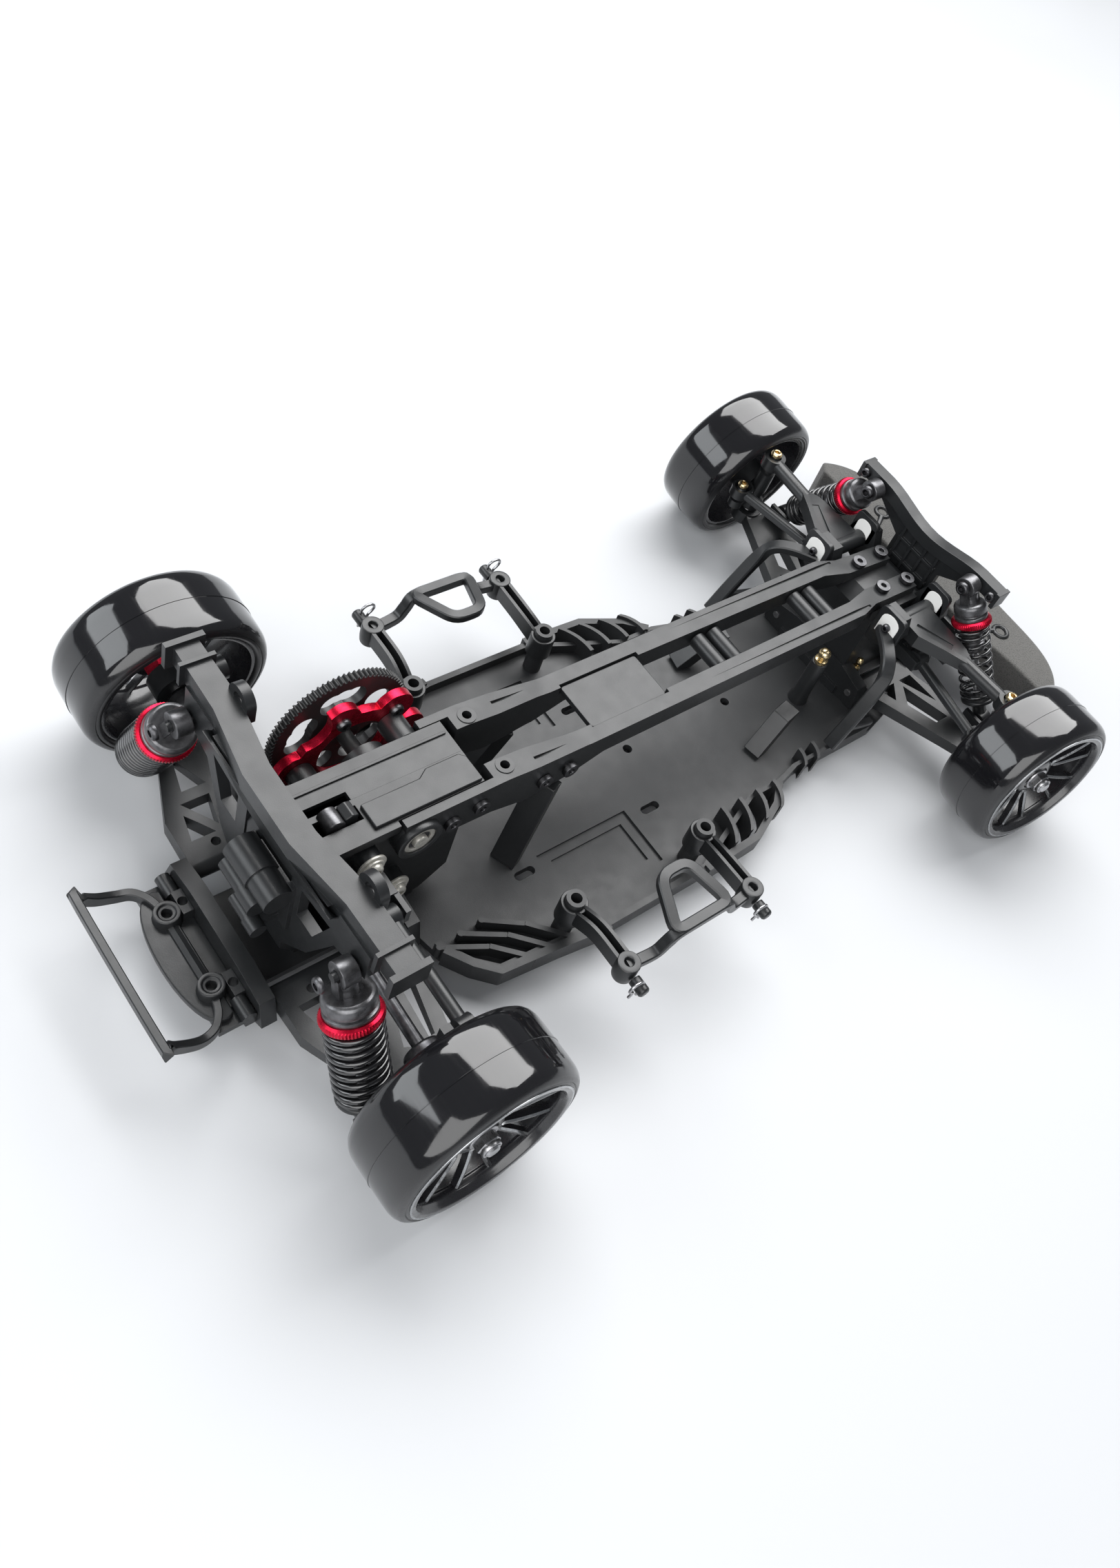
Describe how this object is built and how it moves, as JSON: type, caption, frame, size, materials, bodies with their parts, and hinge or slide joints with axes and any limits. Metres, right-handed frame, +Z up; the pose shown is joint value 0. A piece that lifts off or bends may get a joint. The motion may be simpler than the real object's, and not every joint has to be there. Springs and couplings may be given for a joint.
{
  "type": "rc drift car chassis",
  "caption": "Rolling chassis of a small rear-drive drift car: tray deck, raised twin rails, gearbox, sprung wishbones, steering and body mounts.",
  "frame": {"origin": "on the ground midway between the axles, under the centre of the bounding box", "axes": "+X forward, +Y to the car's left, +Z up"},
  "size_m": [0.372, 0.2068, 0.0825],
  "materials": {
    "composite": "satin",
    "deck_composite": "satin",
    "tyre_compound": "gloss",
    "rim_plastic": "semi gloss",
    "red_aluminium": "anodised",
    "black_aluminium": "anodised",
    "gear_plastic": "matte",
    "steel": "polished",
    "dark_steel": "black oxide",
    "spring_steel": "gloss",
    "white_nylon": "satin",
    "foam": "matte"
  },
  "bodies": {
    "chassis": {"chassis_deck": "deck_composite", "upper_deck_rails": "composite", "electronics_tray": "composite", "upper_deck_spacers": "composite", "gearbox_case": "composite", "motor_plate": "red_aluminium", "rear_suspension_block": "composite", "rear_body_beam": "composite", "rear_bumper_bracket": "composite", "rear_bumper": "composite", "front_bulkhead": "composite", "front_arm_bushes": "white_nylon", "front_shock_tower": "composite", "front_bumper_foam": "foam", "front_braces": "composite", "side_body_mounts": "composite", "body_clips": "steel", "steel_pins_and_bearings": "steel"},
    "spur": {"spur_gear": "gear_plastic"},
    "idler": {"idler_gear": "gear_plastic"},
    "spool": {"rear_spool": "dark_steel"},
    "rack": {"steering_rack": "composite"},
    "rear_arm_left": {"rear_lower_arm_left": "composite"},
    "rear_hub_left": {"rear_hub_left": "composite"},
    "rear_wheel_left": {"tyre_rear_left": "tyre_compound", "rim_rear_left": "rim_plastic"},
    "rear_link_left": {"rear_upper_link_left": "composite"},
    "drive_left": {"drive_shaft_left": "dark_steel"},
    "rear_shock_left": {"rear_shock_body_left": "black_aluminium", "rear_shock_spring_left": "spring_steel"},
    "rear_plunger_left": {"rear_shock_shaft_left": "steel"},
    "front_arm_left": {"front_lower_arm_left": "composite"},
    "front_ball_left": {"front_ball_stud_left": "steel"},
    "front_knuckle_left": {"front_knuckle_left": "composite"},
    "front_wheel_left": {"tyre_front_left": "tyre_compound", "rim_front_left": "rim_plastic"},
    "front_upper_left": {"front_upper_arm_left": "composite"},
    "front_shock_left": {"front_shock_body_left": "black_aluminium", "front_shock_spring_left": "spring_steel"},
    "front_plunger_left": {"front_shock_shaft_left": "steel"},
    "tie_left": {"tie_rod_left": "composite"},
    "rear_arm_right": {"rear_lower_arm_right": "composite"},
    "rear_hub_right": {"rear_hub_right": "composite"},
    "rear_wheel_right": {"tyre_rear_right": "tyre_compound", "rim_rear_right": "rim_plastic"},
    "rear_link_right": {"rear_upper_link_right": "composite"},
    "drive_right": {"drive_shaft_right": "dark_steel"},
    "rear_shock_right": {"rear_shock_body_right": "black_aluminium", "rear_shock_spring_right": "spring_steel"},
    "rear_plunger_right": {"rear_shock_shaft_right": "steel"},
    "front_arm_right": {"front_lower_arm_right": "composite"},
    "front_ball_right": {"front_ball_stud_right": "steel"},
    "front_knuckle_right": {"front_knuckle_right": "composite"},
    "front_wheel_right": {"tyre_front_right": "tyre_compound", "rim_front_right": "rim_plastic"},
    "front_upper_right": {"front_upper_arm_right": "composite"},
    "front_shock_right": {"front_shock_body_right": "black_aluminium", "front_shock_spring_right": "spring_steel"},
    "front_plunger_right": {"front_shock_shaft_right": "steel"},
    "tie_right": {"tie_rod_right": "composite"}
  },
  "joints": [
    {"name": "spur_spin", "type": "hinge", "parent": "chassis", "child": "spur", "pos_m": [-0.103, 0, 0.053], "axis": [0, 1, 0], "continuous": true},
    {"name": "idler_spin", "type": "hinge", "parent": "chassis", "child": "idler", "pos_m": [-0.1025, 0, 0.03143], "axis": [0, 1, 0], "continuous": true},
    {"name": "spool_spin", "type": "hinge", "parent": "chassis", "child": "spool", "pos_m": [-0.1285, 0, 0.033], "axis": [0, 1, 0], "continuous": true},
    {"name": "rear_arm_left", "type": "hinge", "parent": "chassis", "child": "rear_arm_left", "pos_m": [-0.1285, 0.024, 0.0135], "axis": [1, 0, 0], "range_deg": [-2, 7], "stiffness_Nm_per_rad": 1.5, "springref_deg": -5.16},
    {"name": "rear_hub_left", "type": "hinge", "parent": "rear_arm_left", "child": "rear_hub_left", "pos_m": [-0.1285, 0.072, 0.0185], "axis": [1, 0, 0], "range_deg": [-8.59, 2.67]},
    {"name": "rear_wheel_spin_left", "type": "hinge", "parent": "rear_hub_left", "child": "rear_wheel_left", "pos_m": [-0.1285, 0.0855, 0.03155], "axis": [0, 0.9979, 0.0645], "continuous": true},
    {"name": "rear_link_left", "type": "hinge", "parent": "chassis", "child": "rear_link_left", "pos_m": [-0.132, 0.036, 0.044], "axis": [1, 0, 0], "range_deg": [-3.28, 10.73]},
    {"name": "drive_shaft_left", "type": "hinge", "parent": "chassis", "child": "drive_left", "pos_m": [-0.1285, 0.0185, 0.033], "axis": [1, 0, 0], "range_deg": [-2.36, 7.5]},
    {"name": "rear_shock_tilt_left", "type": "hinge", "parent": "chassis", "child": "rear_shock_left", "pos_m": [-0.1455, 0.044, 0.061], "axis": [1, 0, 0], "range_deg": [-1.02, 2.83]},
    {"name": "rear_shock_slide_left", "type": "slide", "parent": "rear_shock_left", "child": "rear_plunger_left", "axis": [0, 0.4548, -0.8906], "range_m": [-0.00508, 0.0016], "deforming": ["rear_shock_spring_left"]},
    {"name": "front_shock_tilt_left", "type": "hinge", "parent": "chassis", "child": "front_shock_left", "pos_m": [0.133, 0.027, 0.069], "axis": [1, 0, 0], "range_deg": [-0.8, 2.06]},
    {"name": "front_shock_slide_left", "type": "slide", "parent": "front_shock_left", "child": "front_plunger_left", "axis": [0.121, 0.5704, -0.8124], "range_m": [-0.00466, 0.00147], "deforming": ["front_shock_spring_left"]},
    {"name": "front_arm_left", "type": "hinge", "parent": "chassis", "child": "front_arm_left", "pos_m": [0.1215, 0.022, 0.014], "axis": [1, 0, 0], "range_deg": [-2, 7], "stiffness_Nm_per_rad": 1.5, "springref_deg": -5.16},
    {"name": "front_ball_left", "type": "hinge", "parent": "front_arm_left", "child": "front_ball_left", "pos_m": [0.129, 0.072, 0.0175], "axis": [1, 0, 0], "range_deg": [-8.31, 2.59]},
    {"name": "steer_left", "type": "hinge", "parent": "front_ball_left", "child": "front_knuckle_left", "pos_m": [0.129, 0.072, 0.0175], "axis": [-0.1233, -0.1079, 0.9865], "range_deg": [-20, 20]},
    {"name": "front_wheel_spin_left", "type": "hinge", "parent": "front_knuckle_left", "child": "front_wheel_left", "pos_m": [0.1285, 0.0865, 0.03182], "axis": [-0.0347, 0.9939, 0.1045], "continuous": true},
    {"name": "front_upper_left", "type": "hinge", "parent": "chassis", "child": "front_upper_left", "pos_m": [0.1196, 0.02, 0.0507], "axis": [1, 0, 0], "range_deg": [-2.37, 7.55]},
    {"name": "rear_arm_right", "type": "hinge", "parent": "chassis", "child": "rear_arm_right", "pos_m": [-0.1285, -0.024, 0.0135], "axis": [-1, 0, 0], "range_deg": [-2, 7], "stiffness_Nm_per_rad": 1.5, "springref_deg": -5.16},
    {"name": "rear_hub_right", "type": "hinge", "parent": "rear_arm_right", "child": "rear_hub_right", "pos_m": [-0.1285, -0.072, 0.0185], "axis": [-1, 0, 0], "range_deg": [-8.71, 2.7]},
    {"name": "rear_wheel_spin_right", "type": "hinge", "parent": "rear_hub_right", "child": "rear_wheel_right", "pos_m": [-0.1285, -0.0855, 0.03155], "axis": [0, 0.9979, -0.0645], "continuous": true},
    {"name": "rear_link_right", "type": "hinge", "parent": "chassis", "child": "rear_link_right", "pos_m": [-0.12, -0.03, 0.044], "axis": [-1, 0, 0], "range_deg": [-2.82, 9.11]},
    {"name": "drive_shaft_right", "type": "hinge", "parent": "chassis", "child": "drive_right", "pos_m": [-0.1285, -0.0185, 0.033], "axis": [-1, 0, 0], "range_deg": [-2.36, 7.51]},
    {"name": "rear_shock_tilt_right", "type": "hinge", "parent": "chassis", "child": "rear_shock_right", "pos_m": [-0.1455, -0.044, 0.061], "axis": [-1, 0, 0], "range_deg": [-1.02, 2.83]},
    {"name": "rear_shock_slide_right", "type": "slide", "parent": "rear_shock_right", "child": "rear_plunger_right", "axis": [0, -0.4548, -0.8906], "range_m": [-0.00508, 0.0016], "deforming": ["rear_shock_spring_right"]},
    {"name": "front_shock_tilt_right", "type": "hinge", "parent": "chassis", "child": "front_shock_right", "pos_m": [0.133, -0.027, 0.069], "axis": [-1, 0, 0], "range_deg": [-0.8, 2.06]},
    {"name": "front_shock_slide_right", "type": "slide", "parent": "front_shock_right", "child": "front_plunger_right", "axis": [0.121, -0.5704, -0.8124], "range_m": [-0.00466, 0.00147], "deforming": ["front_shock_spring_right"]},
    {"name": "front_arm_right", "type": "hinge", "parent": "chassis", "child": "front_arm_right", "pos_m": [0.1215, -0.022, 0.014], "axis": [-1, 0, 0], "range_deg": [-2, 7], "stiffness_Nm_per_rad": 1.5, "springref_deg": -5.16},
    {"name": "front_ball_right", "type": "hinge", "parent": "front_arm_right", "child": "front_ball_right", "pos_m": [0.129, -0.072, 0.0175], "axis": [-1, 0, 0], "range_deg": [-8.31, 2.59]},
    {"name": "steer_right", "type": "hinge", "parent": "front_ball_right", "child": "front_knuckle_right", "pos_m": [0.129, -0.072, 0.0175], "axis": [-0.1233, 0.1079, 0.9865], "range_deg": [-20.3, 20.3]},
    {"name": "front_wheel_spin_right", "type": "hinge", "parent": "front_knuckle_right", "child": "front_wheel_right", "pos_m": [0.1285, -0.0865, 0.03182], "axis": [0.1384, 0.9848, -0.1045], "continuous": true},
    {"name": "front_upper_right", "type": "hinge", "parent": "chassis", "child": "front_upper_right", "pos_m": [0.1196, -0.02, 0.0507], "axis": [-1, 0, 0], "range_deg": [-2.37, 7.55]},
    {"name": "rack_slide", "type": "slide", "parent": "chassis", "child": "rack", "axis": [0, 1, 0], "range_m": [-0.0046, 0.0046]},
    {"name": "tie_left", "type": "hinge", "parent": "rack", "child": "tie_left", "pos_m": [0.1195, 0.0317, 0.0378], "axis": [1, 0, 0], "range_deg": [-2.92, 9.47]},
    {"name": "tie_right", "type": "hinge", "parent": "rack", "child": "tie_right", "pos_m": [0.1195, -0.0317, 0.0378], "axis": [-1, 0, 0], "range_deg": [-2.92, 9.47]}
  ],
  "couplings": [
    {"joint": "spool_spin", "follows": "rear_wheel_spin_left", "ratio": 1},
    {"joint": "idler_spin", "follows": "rear_wheel_spin_left", "ratio": -0.625},
    {"joint": "spur_spin", "follows": "rear_wheel_spin_left", "ratio": 1.7857},
    {"joint": "rear_wheel_spin_right", "follows": "rear_wheel_spin_left", "ratio": 1},
    {"joint": "rear_hub_left", "follows": "rear_arm_left", "ratio": -1.1846},
    {"joint": "rear_link_left", "follows": "rear_arm_left", "ratio": 1.4899},
    {"joint": "drive_shaft_left", "follows": "rear_arm_left", "ratio": 1.0287},
    {"joint": "rear_shock_tilt_left", "follows": "rear_arm_left", "ratio": 0.36084},
    {"joint": "rear_shock_slide_left", "follows": "rear_arm_left", "m_per_rad": -0.039968},
    {"joint": "front_shock_tilt_left", "follows": "front_arm_left", "ratio": 0.25154},
    {"joint": "front_shock_slide_left", "follows": "front_arm_left", "m_per_rad": -0.036463},
    {"joint": "front_ball_left", "follows": "front_arm_left", "ratio": -1.145},
    {"joint": "front_upper_left", "follows": "front_arm_left", "ratio": 1.0363},
    {"joint": "rear_hub_right", "follows": "rear_arm_right", "ratio": -1.2007},
    {"joint": "rear_link_right", "follows": "rear_arm_right", "ratio": 1.258},
    {"joint": "drive_shaft_right", "follows": "rear_arm_right", "ratio": 1.0303},
    {"joint": "rear_shock_tilt_right", "follows": "rear_arm_right", "ratio": 0.36084},
    {"joint": "rear_shock_slide_right", "follows": "rear_arm_right", "m_per_rad": -0.039968},
    {"joint": "front_shock_tilt_right", "follows": "front_arm_right", "ratio": 0.25154},
    {"joint": "front_shock_slide_right", "follows": "front_arm_right", "m_per_rad": -0.036463},
    {"joint": "front_ball_right", "follows": "front_arm_right", "ratio": -1.145},
    {"joint": "front_upper_right", "follows": "front_arm_right", "ratio": 1.0363},
    {"joint": "steer_right", "follows": "steer_left", "ratio": 1},
    {"joint": "rack_slide", "follows": "steer_left", "m_per_rad": -0.011838},
    {"joint": "tie_left", "follows": "front_arm_left", "ratio": 1.3095},
    {"joint": "tie_right", "follows": "front_arm_right", "ratio": 1.3095}
  ]
}
